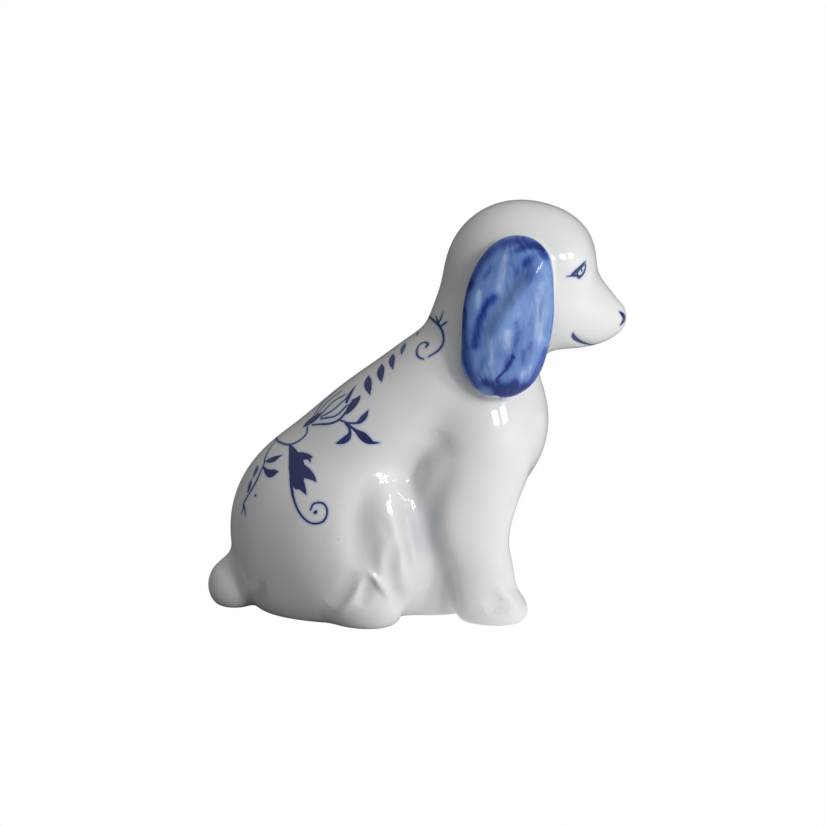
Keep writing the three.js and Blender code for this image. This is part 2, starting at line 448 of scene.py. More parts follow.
def triangles(verts, quads):
    """Cuts each quad along its shorter diagonal."""
    d0 = np.linalg.norm(verts[quads[:, 0]] - verts[quads[:, 2]], axis=1)
    d1 = np.linalg.norm(verts[quads[:, 1]] - verts[quads[:, 3]], axis=1)
    q = np.where((d0 <= d1)[:, None], quads, np.roll(quads, -1, axis=1))
    return np.concatenate([q[:, [0, 1, 2]], q[:, [0, 2, 3]]])


def split_edges(verts, tris, cut):
    """Splits edges and the triangles on them. cut(pairs) gives the share along each edge, or nan."""
    pairs = np.sort(np.concatenate([tris[:, [0, 1]], tris[:, [1, 2]], tris[:, [2, 0]]]), axis=1)
    edges, back = np.unique(pairs, axis=0, return_inverse=True)
    back = back.reshape(3, -1).T
    share = cut(edges)
    marked = ~np.isnan(share)
    new = np.full(len(edges), -1)
    new[marked] = len(verts) + np.arange(marked.sum())
    e, t = edges[marked], share[marked][:, None]
    added = verts[e[:, 0]] * (1 - t) + verts[e[:, 1]] * t
    verts = np.concatenate([verts, added])
    mid = new[back]
    count = (mid >= 0).sum(1)
    out = [tris[count == 0]]
    # one cut edge, turned to be the first
    for k in range(3):
        t1 = (count == 1) & (mid[:, k] >= 0)
        a, b, c = (tris[t1][:, (k + i) % 3] for i in range(3))
        m = mid[t1, k]
        out += [np.stack([a, m, c], 1), np.stack([m, b, c], 1)]
        # two cut edges: the whole one is k
        t2 = (count == 2) & (mid[:, k] < 0)
        a, b, c = (tris[t2][:, (k + i) % 3] for i in range(3))
        mb, mc = mid[t2, (k + 1) % 3], mid[t2, (k + 2) % 3]
        out += [np.stack([mb, c, mc], 1), np.stack([a, b, mb], 1), np.stack([a, mb, mc], 1)]
    t3 = count == 3
    a, b, c = tris[t3].T
    m0, m1, m2 = mid[t3].T
    out += [np.stack(s, 1) for s in ((a, m0, m2), (m0, b, m1), (m2, m1, c), (m0, m1, m2))]
    return verts, np.concatenate(out), len(verts) - marked.sum()


# ---------------------------------------------------------------- the brushwork
LINE = 0.55
# Strokes of the back: millimetres up the body, degrees down from the spine, and width. Each list
# starts with its load of cobalt, from a dry brush at 0 to a full one at 1.
BACK_STROKES = [
    (0.7, [(48.5, 0, 0.5), (48.8, 14, 0.6), (49.1, 29, 0.65), (48.6, 38, 0.6), (47.1, 46, LINE),
           (45, 49, 0.6),
           (42.5, 47.5, 0.45)]),  # the scroll at the nape
    (0.7, [(41.3, 46, 0.4), (40.9, 40, LINE), (41.6, 33, LINE), (43.1, 29, 0.5), (44.2, 32, 0.55),
           (44.2, 36, 0.75),
           (43.6, 37, 0.6)]),
    (0.7, [(52.1, 27, 0.25), (50.6, 28, 0.5), (49.2, 28, 0.5)]),
    (0.7, [(51, 36.5, 0.3), (50, 34.5, 0.5), (49.1, 33, 0.5)]),
    (0.7, [(50, 20, 0.3), (49.6, 26, 0.5), (49.1, 31, 0.5)]),
    (0.3, [(44.3, 4, 0.3), (43.9, 8, 0.7), (43.5, 12, 0.2)]),  # the drops beside the spine
    (0.45, [(40.5, 9, 0.2), (39.7, 15, 1.3), (39, 20, 1.0), (38.4, 24, 0.15)]),
    (0.8, [(36.8, 13, 0.2), (36.2, 19, 1.6), (35.6, 25, 1.4), (34.9, 32, 0.15)]),
    (0.9, [(33.5, 16, 0.2), (32.8, 22, 1.9), (32, 28, 1.7), (31.2, 34.5, 0.15)]),
    (0.95, [(29.7, 18, 0.2), (28.9, 24, 1.9), (28.2, 30, 1.7), (27.4, 36.5, 0.15)]),
    # the flower
    (0.85, [(11.2, 15, 0.5), (12.4, 15, 2.0), (14.2, 16, 2.4), (15.6, 17, 1.2), (16.6, 17, 0.3)]),
    (0.6, [(14.6, 12, 0.4), (17.8, 4.5, 0.45), (21.5, 3, 0.3)]),
    (0.6, [(15.2, 14, 0.45), (19, 10, 0.45), (22.6, 11, 0.4)]),
    (0.6, [(15.7, 18, 0.5), (20, 16, 0.5), (23, 19, 0.5)]),
    (0.6, [(15.7, 20, 0.5), (18.9, 23.5, 0.5), (22.6, 23.5, 0.5)]),
    (0.6, [(15.4, 21.5, 0.5), (18.6, 29.5, 0.5), (22, 29.5, 0.5)]),
    (0.75, [(13, 20, 0.5), (14.4, 24.5, LINE), (16.5, 31, 0.6), (18.8, 34, 0.65), (21.3, 33, 0.6)]),
    (0.9, [(26.2, 18.5, 0.2), (24.8, 21, 0.9), (23.4, 24, 1.3), (22.4, 27, 0.7)]),
    (0.95, [(25.4, 31, 0.5), (24.6, 32, 1.5), (23.4, 32.5, 2.2), (22, 33.5, 1.9), (20.8, 34.5, 0.6)]),
    (0.9, [(23.6, 29, 0.4), (24.2, 31, 1.0), (24.6, 33, 0.7)]),
    (0.75, [(18.6, 34, 0.5), (19.1, 38, 0.5), (19.6, 41, 0.5), (20.8, 45, 0.6), (21.7, 46, 1.2),
            (22.9, 46, 1.5),
            (23.9, 45.5, 0.9), (24.8, 44.5, 0.15)]),  # the sprig with three leaves
    (0.85, [(19.1, 38.5, 0.5), (18.8, 44, 0.6), (18, 46.7, 0.9), (17, 47.3, 1.6), (15.9, 46.6, 1.5),
            (15, 45.4, 0.9),
            (14.2, 43.8, 0.15)]),
    (1.0, [(19.2, 40, 0.6), (19.4, 46, 0.6), (19.5, 50, 1.1), (19.6, 54, 1.9), (19.6, 58, 1.7),
           (19.9, 61.5, 0.8),
           (20.9, 65.5, 0.2)]),
    (0.65, [(11.8, 18, 0.5), (11, 22, 0.5), (9.8, 23.2, 0.5), (7.5, 22, LINE), (5.7, 18, LINE),
            (4.3, 9, 0.5),
            (3.8, 0, 0.45)]),  # the bow under the flower
    (1.0, [(6.2, 19, 0.3), (5.9, 24, 1.5), (5.2, 30, 3.0), (4.1, 36, 4.2), (2.8, 41, 3.7),
           (1.3, 44.5, 1.8)]),
    # the lobes of the great leaf
    (1.0, [(5.2, 28, 1.6), (6.7, 33, 1.9), (7.7, 36.6, 1.2), (8.3, 39, 0.2)]),
    (1.0, [(7.2, 34, 1.0), (7.6, 37, 1.0), (7.2, 40, 0.3)]),
    (1.0, [(4.2, 36, 3.0), (4.8, 43, 2.5), (5.1, 48, 1.4), (5, 52, 0.2)]),
    (1.0, [(2.4, 40, 2.6), (2.1, 45, 2.2), (1.8, 49, 1.3), (1.4, 53, 0.2)]),
    (0.8, [(3.4, 33, 1.0), (1.1, 39.5, 1.0), (-0.3, 44, 0.8), (-1.5, 49, 0.6), (-2.6, 56, LINE),
           (-2.9, 63, 0.5), (-2.1, 68, 0.5), (-0.3, 71, 0.5), (1.7, 69.5, 0.5), (2.6, 65.5, 0.5),
           (2.1, 62, 0.5), (0.9, 60, 0.5), (-0.4, 61, 0.45)]),  # its stalk, which curls up
    (1.0, [(-0.2, 64, 0.75), (0.1, 64.2, 0.75)]),
    (0.65, [(3.9, 5, 0.4), (1.4, 9, 0.45), (-0.6, 14, 0.5), (-1.6, 17, 0.5), (-5.9, 21, 0.5),
            (-11.5, 20.5, 0.45)]),
    (0.65, [(-11.5, 20.5, 0.45), (-12.4, 22, 0.4), (-13.6, 22, 0.2)]),  # the sprig over the tail
    (0.65, [(-11.5, 20.5, 0.45), (-12.2, 24, 0.4), (-13.2, 26, 0.2)]),
    (0.85, [(-0.5, 16, 0.4), (0.3, 18, 1.3), (1.4, 20, 1.6), (2.4, 21, 0.8), (3.4, 22, 0.15)]),
    (0.85, [(-1.8, 18, 0.4), (-1.8, 22, 1.2), (-1.4, 25.5, 2.0), (-0.6, 27, 1.5), (0.3, 28.8, 0.2)]),
    (0.9, [(-7.7, 26, 0.5), (-7.6, 26.4, 0.5)]),
    (0.45, [(-2.9, 12.5, 0.2), (-3.8, 14.5, 1.4), (-5.4, 16.5, 0.3)]),
    (0.45, [(-6.1, 16, 0.2), (-7.4, 18, 1.3), (-8.8, 19.5, 0.3)]),
]
# The face: millimetres forward, up, and width.
FACE_STROKES = [
    (0.85, [(38.7, 83.8, 0.25), (37.9, 83.2, 0.6), (37, 82.4, 0.8), (36, 81.6, 0.95), (35.3, 81.0, 0.8)]),
    (0.6, [(35.5, 81.0, 0.6), (34.8, 80.8, 0.4), (34.0, 80.8, 0.15)]),
    (0.9, [(38.6, 83.2, 0.5), (38.8, 82.3, 0.65), (38.6, 81.3, 0.75), (37.9, 80.6, 0.75),
           (37.2, 80.3, 0.85),
           (36.6, 80.8, 0.7), (36.7, 81.5, 0.5), (37.3, 82.2, 0.4), (38.3, 82.9, 0.4)]),
    (0.8, [(37.7, 82.0, 0.5), (37.9, 81.6, 0.6)]),
    (0.8, [(35.4, 80.9, 0.6), (36.4, 80.7, 0.5)]),
    (0.85, [(47.0, 71.1, 0.4), (47.8, 70.3, 1.2), (48.2, 69.4, 1.5), (47.8, 68.6, 1.0), (47.2, 68.0, 0.3)]),
    (0.9, [(35.9, 67.4, 0.25), (36.1, 66.4, 0.9), (36.8, 65.4, 1.1), (37.9, 64.5, 0.95), (39.2, 63.8, 0.75),
           (40.6, 63.3, 0.55), (42.0, 63.1, 0.25)]),
]
# The ear's wash is laid in soft strokes: load (wiped if negative), then forward, up, half width.
EAR_STROKES = [
    (0.75, [(19.6, 88.6, 0.9), (23.0, 89.2, 1.6), (25.6, 89.0, 2.0), (27.6, 88.0, 1.8), (28.6, 86, 1.2)]),
    (0.6, [(22.7, 87.1, 0.6), (24.4, 87.8, 0.8), (26.7, 88.0, 0.9), (28.6, 87.5, 0.6)]),
    (0.45, [(21.4, 86.8, 0.7), (21.2, 84.2, 0.6)]),
    (0.45, [(25.9, 85.6, 0.9), (24.3, 84.2, 0.9)]),
    (0.55, [(17.4, 87, 1.2), (15.2, 84.8, 1.6), (13.6, 82, 1.6), (12.6, 79.0, 1.3)]),
    (0.35, [(17.0, 83.4, 0.8), (15.6, 81, 0.7)]),
    (0.75, [(17.6, 77, 0.5), (15.9, 75.1, 1.0), (14.6, 72.5, 1.4), (13.8, 70.2, 1.2), (13.3, 66.2, 0.7)]),
    (0.6, [(12.1, 80, 1.0), (11.1, 74.8, 1.5), (10.8, 70.5, 1.5), (11.1, 65, 1.5), (12.0, 61, 1.2),
           (13.4, 57, 1.2)]),
    (0.5, [(22.6, 71.4, 0.7), (23.0, 68.7, 1.0), (22.3, 66.2, 1.1), (21.2, 63.7, 0.9), (20.6, 62, 0.5)]),
    (0.95, [(22.0, 64.2, 0.15), (20.7, 61.7, 0.3), (19.1, 59.7, 0.35), (18.1, 58.2, 0.3)]),
    (0.9, [(15.7, 57.9, 0.7), (18.2, 57.2, 1.5), (20.5, 56.9, 1.8), (22.6, 57.8, 1.2)]),
    (0.85, [(18.6, 55.2, 1.0), (20.6, 54.9, 1.5), (22.4, 55.3, 1.3), (24.6, 56.6, 1.0)]),
    (0.5, [(25.6, 57.5, 1.4), (27.8, 60.5, 1.3), (29.2, 64.5, 1.0)]),
    (0.4, [(15.5, 63.4, 0.8), (14.4, 60, 1.0)]),
    (0.35, [(25.9, 66.6, 0.8), (24.2, 64.2, 1.0), (24.4, 61.9, 0.8)]),
    (0.35, [(29.2, 88, 0.4), (30.2, 83.5, 0.35), (31.0, 79.5, 0.35), (31.3, 75.5, 0.35),
            (30.9, 72, 0.35), (30.4, 67, 0.5)]),
    (-0.35, [(20.2, 85.6, 0.9), (19.4, 81.3, 1.2), (18.6, 77.8, 1.0)]),
    (0.35, [(24.5, 85.0, 1.6), (26.0, 81.5, 1.8), (22.6, 82.5, 1.6)]),
    (-0.35, [(14.3, 78, 0.6), (13.9, 74.4, 0.5)]),
    (-0.45, [(20.6, 69, 0.8), (20.3, 65.6, 1.0)]),
    (-0.3, [(16.6, 68, 0.9), (17.0, 63, 1.2)]),
    (-0.4, [(25.2, 61.6, 1.0), (23.6, 58.6, 0.8)]),
    (-0.3, [(28.6, 79.5, 1.0), (27.4, 73.6, 1.6), (27.8, 68, 1.2)]),
]


# The edge of the wash on each ear, as it is seen from that side.
EAR_OUTLINE = [(13.0, 83.4), (14.6, 86.9), (17.8, 89.2), (22, 90.3), (26, 90.4), (28.9, 89), (30.6, 84),
               (32.4, 76), (32, 66), (30, 59), (26, 54), (21.5, 52.5), (18.2, 54.6), (16.2, 54.0),
               (12.4, 53.6), (9.6, 62), (9.8, 75)]


def inside_outline(x, z):
    """The distance in from the outline's edge, negative outside it."""
    ring = smooth_line(EAR_OUTLINE + EAR_OUTLINE[:1], 0.8)
    start, end = ring[:-1], ring[1:]
    p = np.stack([x, z], 1)[:, None]
    along = end - start
    share = np.clip(((p - start) * along).sum(2) / (along * along).sum(1), 0, 1)
    gap = np.linalg.norm(p - start - share[..., None] * along, axis=2).min(1)
    above = (start[:, 1] > z[:, None]) != (end[:, 1] > z[:, None])
    rise = np.where(along[:, 1] == 0, 1e-9, along[:, 1])
    reach = start[:, 0] + (z[:, None] - start[:, 1]) / rise * along[:, 0]
    odd = (above & (x[:, None] < reach)).sum(1) % 2 == 1
    return np.where(odd, gap, -gap)


class Stroke:
    """A brush stroke on the skin: a line of points with a radius along it."""

    def __init__(self, place, side, load, points, step, half):
        columns = smooth_line(points, step)
        self.line = settle(skin, place(columns[:, 0], columns[:, 1], side), 3)
        self.radii = np.maximum(columns[:, 2], 0.08) * half
        self.load = load
        self.low, self.high = self.line.min(0), self.line.max(0)

    def near(self, p, reach):
        return np.all((p > self.low - reach) & (p < self.high + reach), axis=1)


def lay(group, place, step, half=0.5):
    """The strokes of a list, laid on both sides; half turns their widths into radii."""
    return [Stroke(place, side, load, points, step, half)
            for load, points in group for side in (RIGHT, LEFT)]


STROKES = lay(BACK_STROKES, on_back, 0.7) + lay(FACE_STROKES, on_side, 0.25)
EAR_WASH = lay(EAR_STROKES, on_side, 0.8, 1)
INK_REACH = 1.5


def ink_at(p):
    """The distance outside the nearest stroke's edge, and how loaded the brush was there."""
    edge, load = np.full(len(p), INK_REACH), np.full(len(p), 0.6)
    for stroke in STROKES:
        near = np.flatnonzero(stroke.near(p, INK_REACH))
        if len(near):
            gap = line_gap(p[near], stroke.line, stroke.radii)
            closer = gap < edge[near]
            edge[near[closer]] = gap[closer]
            load[near[closer]] = stroke.load
    return edge, load


def wash_at(p):
    """How much heavier or lighter than the rest the ear's wash is."""
    out = np.zeros(len(p))
    for stroke in EAR_WASH:
        reach = 2.2 * stroke.radii.max()
        near = stroke.near(p, reach)
        if near.any():
            scaled = line_gap(p[near], stroke.line) / np.mean(stroke.radii)
            out[near] += stroke.load * np.exp(-(scaled ** 2))
    return out


NET_LOW, NET_HIGH = np.array([-52.0, -27, -1.6]), np.array([52.0, 27, 99])
net, quads = surface_net(skin, NET_LOW, NET_HIGH, GRID)
net = relax(skin, net, quads)
faces = triangles(net, quads)

# finer triangles where a stroke's edge runs, so that it stays a clean line
FINE_EDGE = 0.2
edge, _ = ink_at(net)
for _ in range(4):
    def cut_long(pairs):
        length = np.linalg.norm(net[pairs[:, 0]] - net[pairs[:, 1]], axis=1)
        close = np.minimum(np.abs(edge[pairs[:, 0]]), np.abs(edge[pairs[:, 1]])) < 0.55 * length + 0.12
        return np.where(close & (length > FINE_EDGE * 1.4), 0.5, np.nan)

    net, faces, first = split_edges(net, faces, cut_long)
    net[first:] = settle(skin, net[first:], 1)
    edge = np.concatenate([edge, ink_at(net[first:])[0]])


# ---------------------------------------------------------------- cut the skin into its castings
def neck_side(p):
    """Positive on the head's side of the neck joint."""
    return (p - NECK) @ np.array([math.sin(NECK_TILT), 0, math.cos(NECK_TILT)])


def seam(name):
    """A function that is negative on a casting and positive on the trunk around it."""
    part = PARTS[name]

    def side_of(p):
        out = np.full(len(p), 9.0)
        near = np.all((p > part.low - 3) & (p < part.high + 3), axis=1)
        if near.any():
            out[near] = part(p[near]) - TRUNK(p[near])
        return out

    return side_of


owner_of = {name: seam(name) for name in PARTS}
owner_of["head"] = lambda p: -neck_side(p)


SEAM_SNAP = 0.12  # a point this near a seam, as a share of the grid, counts as on it


def cut_seam(verts, tris, side_of):
    """Splits the triangles that cross a seam, exactly on it."""
    value = side_of(verts)
    value[np.abs(value) < SEAM_SNAP * GRID] = 0

    def cut(edges):
        v0, v1 = value[edges[:, 0]], value[edges[:, 1]]
        return np.where(v0 * v1 < 0, v0 / np.where(v0 == v1, 1, v0 - v1), np.nan)

    return split_edges(verts, tris, cut)[:2]


for side_of in owner_of.values():
    net, faces = cut_seam(net, faces, side_of)
net = settle(skin, net, 1)
middles = net[faces].mean(1)
label = np.full(len(faces), "torso", dtype=object)
label[owner_of["head"](middles) < 0] = "head"
for name in PARTS:
    label[owner_of[name](middles) < 0] = name
normals = slope(skin, net)
normals /= np.linalg.norm(normals, axis=1, keepdims=True)
edge, load = ink_at(net)
# the tooling's depth, kept as the mask for the painted shade in the grooves
groove_shade_mask = tooling(net)


CAP_DEPTH = 1.4  # how far a cap is sunk under the skin, so that no groove lays it bare
HUB_SINK = 1.5  # the cap's middle goes deeper than its ring by this factor


def casting_mesh(name):
    """The casting's own faces, closed behind each seam, with the whole skin's normals."""
    own = faces[label == name]
    used, local = np.unique(own, return_inverse=True)
    tris = local.reshape(-1, 3)
    verts, smooth = net[used], normals[used]
    halves = np.concatenate([tris[:, [0, 1]], tris[:, [1, 2]], tris[:, [2, 0]]])
    key = halves[:, 0] * len(verts) + halves[:, 1]
    back = halves[:, 1] * len(verts) + halves[:, 0]
    rim = halves[~np.isin(key, back)]
    follow = {}
    for a, b in rim:
        follow.setdefault(a, []).append(b)
    caps, extra = [], []
    inward = -CAP_DEPTH * smooth
    while follow:
        start = next(iter(follow))
        loop, at = [start], start
        while True:
            nxt = follow[at].pop()
            if not follow[at]:
                del follow[at]
            if nxt == start:
                break
            loop.append(nxt)
            at = nxt
        ring = len(verts) + len(extra)
        extra += list(verts[loop] + inward[loop])
        extra.append((verts[loop] + HUB_SINK * inward[loop]).mean(0))
        hub, count = ring + len(loop), len(loop)
        for i in range(count):
            j = (i + 1) % count
            caps += [(loop[j], loop[i], ring + i), (loop[j], ring + i, ring + j), (ring + j, ring + i, hub)]
    if extra:
        verts = np.concatenate([verts, extra])
    paint = {"edge": edge[used], "load": load[used], "groove_shade_mask": groove_shade_mask[used]}
    if "ear_" in name:
        paint |= ear_paint(net[used], net[used[sorted({int(i) for i in rim.ravel()})]])
    return verts, tris, np.array(caps, int).reshape(-1, 3), smooth, paint


EAR_MIDDLE, EAR_HALF_WIDTH, EAR_HALF_HEIGHT = np.array([SHIFT + 20.4, 72]), 11.0, 18.5


def ear_paint(p, rim):
    """The wash: how far in from the ear's edge, its heavier strokes, and the way the brush ran."""
    inset = np.empty(len(p))
    for s in range(0, len(p), 2000):
        gaps = np.linalg.norm(p[s:s + 2000, None] - rim[None], axis=2)
        inset[s:s + 2000] = np.minimum(gaps.min(1), inside_outline(*p[s:s + 2000, [0, 2]].T) + 0.4)
    up = (p[:, 2] - EAR_MIDDLE[1]) / EAR_HALF_HEIGHT
    wide = np.sqrt(np.clip(1 - up * up, 0.12, 1))
    across = (p[:, 0] - EAR_MIDDLE[0]) / (EAR_HALF_WIDTH * wide)
    return {"inset": inset, "wash": wash_at(p), "across": across, "up": up}


def make_object(name, verts, tris, caps, smooth, paint):
    mesh = bpy.data.meshes.new(name)
    corners = np.concatenate([tris, caps])
    mesh.vertices.add(len(verts))
    mesh.vertices.foreach_set("co", (verts * MM).astype(np.float32).ravel())
    mesh.loops.add(len(corners) * 3)
    mesh.loops.foreach_set("vertex_index", corners.astype(np.int32).ravel())
    mesh.polygons.add(len(corners))
    mesh.polygons.foreach_set("loop_start", np.arange(0, len(corners) * 3, 3, dtype=np.int32))
    mesh.update(calc_edges=True)
    mesh.polygons.foreach_set("use_smooth", np.ones(len(corners), bool))
    a, b, c = verts[caps[:, 0]], verts[caps[:, 1]], verts[caps[:, 2]]
    flat = np.cross(b - a, c - a)
    flat /= np.linalg.norm(flat, axis=1, keepdims=True) + 1e-12
    loops = np.concatenate([smooth[tris.ravel()], np.repeat(flat, 3, axis=0)])
    mesh.normals_split_custom_set(loops.astype(np.float32))
    for key, values in paint.items():
        bare = INK_REACH if key == "edge" else 0
        padded = np.concatenate([values, np.full(len(verts) - len(values), bare)])
        mesh.attributes.new(key, "FLOAT", "POINT").data.foreach_set("value", padded.astype(np.float32))
    obj = bpy.data.objects.new(name, mesh)
    bpy.context.scene.collection.objects.link(obj)
    return obj


# ---------------------------------------------------------------- glazes
class Nodes:
    """A short way to write a shader: each call adds a node and gives back its output."""

    def __init__(self, name):
        self.material = bpy.data.materials.new(name)
        self.material.use_nodes = True
        self.tree = self.material.node_tree
        self.shader = self.tree.nodes["Principled BSDF"]

    def put(self, socket, value):
        if isinstance(value, bpy.types.NodeSocket):
            self.tree.links.new(value, socket)
        else:
            socket.default_value = value

    def math(self, operation, a, b=0.0, c=0.0, clamp=False):
        node = self.tree.nodes.new("ShaderNodeMath")
        node.operation, node.use_clamp = operation, clamp
        for socket, value in zip(node.inputs, (a, b, c)):
            self.put(socket, value)
        return node.outputs[0]

    def ramp(self, value, low, high, out_low=0.0, out_high=1.0):
        node = self.tree.nodes.new("ShaderNodeMapRange")
        node.interpolation_type = "SMOOTHSTEP"
        for socket, v in zip(node.inputs, (value, low, high, out_low, out_high)):
            self.put(socket, v)
        return node.outputs[0]

    def attribute(self, name):
        node = self.tree.nodes.new("ShaderNodeAttribute")
        node.attribute_name = name
        return node.outputs["Fac"]

    def place(self):
        return self.tree.nodes.new("ShaderNodeTexCoord").outputs["Object"]

    def noise(self, vector, scale, detail=2.0, roughness=0.5):
        node = self.tree.nodes.new("ShaderNodeTexNoise")
        for key, value in zip(("Vector", "Scale", "Detail", "Roughness"), (vector, scale, detail, roughness)):
            self.put(node.inputs[key], value)
        return node.outputs["Fac"]

    def vector(self, x, y, z):
        node = self.tree.nodes.new("ShaderNodeCombineXYZ")
        for socket, value in zip(node.inputs, (x, y, z)):
            self.put(socket, value)
        return node.outputs[0]

    def mix(self, share, a, b):
        node = self.tree.nodes.new("ShaderNodeMix")
        node.data_type = "RGBA"
        for key, value in (("Factor_Float", share), ("A_Color", a), ("B_Color", b)):
            self.put(next(i for i in node.inputs if i.identifier == key), value)
        return next(o for o in node.outputs if o.identifier == "Result_Color")

    def bump(self, height, strength, distance):
        node = self.tree.nodes.new("ShaderNodeBump")
        for key, value in (("Height", height), ("Strength", strength), ("Distance", distance)):
            self.put(node.inputs[key], value)
        return node.outputs[0]


PORCELAIN = (0.80, 0.80, 0.79, 1)
# one grey, used for the glaze's random unevenness and as painted shade in the grooves
UNEVEN_TINT_AND_GROOVE_SHADE = (0.54, 0.57, 0.60, 1)
SPECK = (0.28, 0.25, 0.22, 1)
BLEED = (0.30, 0.44, 0.76, 1)
COBALT = (0.018, 0.065, 0.27, 1)
COBALT_FULL = (0.009, 0.018, 0.12, 1)
WASH_PALE = (0.40, 0.53, 0.80, 1)
WASH_MIDDLE = (0.15, 0.27, 0.60, 1)
WASH_DEEP = (0.025, 0.075, 0.34, 1)
WASH_FULL = (0.008, 0.025, 0.19, 1)


def porcelain(n):
    """The white body under its glaze, a little uneven, and greyed in its grooves by their depth: a little of
    that is glaze pooled there, most of it is painted shade.
    """
    place = n.place()
    cloud = n.noise(place, 45, 3)
    white = n.mix(n.ramp(cloud, 0.3, 0.8, 0, 0.18), PORCELAIN, UNEVEN_TINT_AND_GROOVE_SHADE)
    # painted shade: the grooves are greyed by their tooling depth, standing in for the dark of the creases
    white = n.mix(n.ramp(n.attribute("groove_shade_mask"), 0.25, 1.8, 0, 0.9), white, UNEVEN_TINT_AND_GROOVE_SHADE)
    return n.mix(n.ramp(n.noise(place, 900, 1), 0.80, 0.83, 0, 0.6), white, SPECK)


def brushwork(n, under):
    """Cobalt lines and leaves under the glaze, with a soft bleed along their edges."""
    place = n.place()
    rough = n.math("MULTIPLY_ADD", n.noise(place, 1400, 2), 0.12, -0.06)
    edge = n.math("ADD", n.attribute("edge"), rough)
    patchy = n.math("MULTIPLY_ADD", n.noise(place, 420, 3), 0.5, -0.25)
    load = n.math("ADD", n.attribute("load"), patchy, clamp=True)
    cobalt = n.mix(n.ramp(load, 0.3, 0.95), COBALT, COBALT_FULL)
    halo = n.mix(n.ramp(edge, 0.7, 0.0, 0, 0.5), under, BLEED)
    cover = n.math("MULTIPLY", n.ramp(edge, 0.10, -0.10), n.ramp(load, 0.0, 0.55, 0.55, 0.97))
    return n.mix(cover, halo, cobalt)


def ear_wash(n, under):
    """A streaky wash, laid along the ear with a wide brush."""
    across, up = n.attribute("across"), n.attribute("up")
    sway = n.math("MULTIPLY_ADD", n.noise(n.vector(across, up, 0.0), 2.0), 0.5, across)
    broad = n.noise(n.vector(n.math("MULTIPLY", sway, 3.2), n.math("MULTIPLY", up, 1.3), 2.0), 1.6, 4, 0.6)
    fine = n.noise(n.vector(n.math("MULTIPLY", sway, 14.0), n.math("MULTIPLY", up, 2.2), 5.0), 1.5, 3, 0.6)
    density = n.math("MULTIPLY_ADD", broad, 0.70, 0.10)
    density = n.math("ADD", density, n.math("MULTIPLY_ADD", fine, 0.30, -0.15))
    density = n.math("ADD", density, n.math("MULTIPLY", n.attribute("wash"), 0.62), clamp=True)
    colour = n.mix(n.ramp(density, 0.10, 0.48), WASH_PALE, WASH_MIDDLE)
    colour = n.mix(n.ramp(density, 0.45, 0.88), colour, WASH_DEEP)
    colour = n.mix(n.ramp(density, 0.82, 1.0), colour, WASH_FULL)
    ragged = n.math("MULTIPLY_ADD", n.noise(n.place(), 500, 2), 0.6, -0.3)
    cover = n.ramp(n.math("ADD", n.attribute("inset"), ragged), 0.25, 0.75)
    return n.mix(cover, under, colour)


def glaze(name, painted=True, washed=False):
    n = Nodes(name)
    colour = porcelain(n)
    if washed:
        colour = ear_wash(n, colour)
    if painted:
        colour = brushwork(n, colour)
    n.put(n.shader.inputs["Base Color"], colour)
    n.put(n.shader.inputs["Roughness"], n.ramp(n.noise(n.place(), 260, 3), 0.3, 0.7, 0.07, 0.13))
    n.put(n.shader.inputs["IOR"], 1.52)
    wavy = n.bump(n.noise(n.place(), 70, 2), 0.25, 0.0006)
    n.put(n.shader.inputs["Normal"], wavy)
    return n.material


GLAZES = {
    "torso_glaze": glaze("torso_glaze"),
    "head_glaze": glaze("head_glaze"),
    "tail_glaze": glaze("tail_glaze", painted=False),
    "leg_glaze": glaze("leg_glaze", painted=False),
    "ear_glaze": glaze("ear_glaze", painted=False, washed=True),
}
SLOTS = {"torso": "torso_glaze", "head": "head_glaze", "tail": "tail_glaze"}
for name in ["torso", "head", *PARTS]:
    piece = make_object(f"{name}_skin", *casting_mesh(name))
    slot = SLOTS.get(name, "ear_glaze" if "ear_" in name else "leg_glaze")
    piece.data.materials.append(GLAZES[slot])
    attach(piece, "root")
    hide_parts(name)
    print(name, len(piece.data.polygons))

# ---------------------------------------------------------------- studio
scene = bpy.context.scene


def seen_white(tree, surface):
    """Camera rays see plain white, and every other ray sees the given surface."""
    white = tree.nodes.new("ShaderNodeEmission")
    path = tree.nodes.new("ShaderNodeLightPath")
    choose = tree.nodes.new("ShaderNodeMixShader")
    tree.links.new(path.outputs["Is Camera Ray"], choose.inputs[0])
    tree.links.new(surface, choose.inputs[1])
    tree.links.new(white.outputs[0], choose.inputs[2])
    return choose.outputs[0]


def lobe(tree, where, azimuth, elevation, start, power, level):
    """Light that fades away from one direction: level at its middle, none where the cosine is start."""
    dot = tree.nodes.new("ShaderNodeVectorMath")
    dot.operation = "DOT_PRODUCT"
    dot.inputs[1].default_value = direction(azimuth, elevation)
    tree.links.new(where, dot.inputs[0])
    share = tree.nodes.new("ShaderNodeMapRange")
    share.inputs["From Min"].default_value = start
    tree.links.new(dot.outputs["Value"], share.inputs["Value"])
    raised = tree.nodes.new("ShaderNodeMath")
    raised.operation = "POWER"
    raised.inputs[1].default_value = power
    tree.links.new(share.outputs[0], raised.inputs[0])
    scaled = tree.nodes.new("ShaderNodeMath")
    scaled.operation = "MULTIPLY"
    scaled.inputs[1].default_value = level
    tree.links.new(raised.outputs[0], scaled.inputs[0])
    return scaled.outputs[0]


def add_up(tree, values):
    total = values[0]
    for value in values[1:]:
        node = tree.nodes.new("ShaderNodeMath")
        tree.links.new(total, node.inputs[0])
        tree.links.new(value, node.inputs[1])
        total = node.outputs[0]
    return total


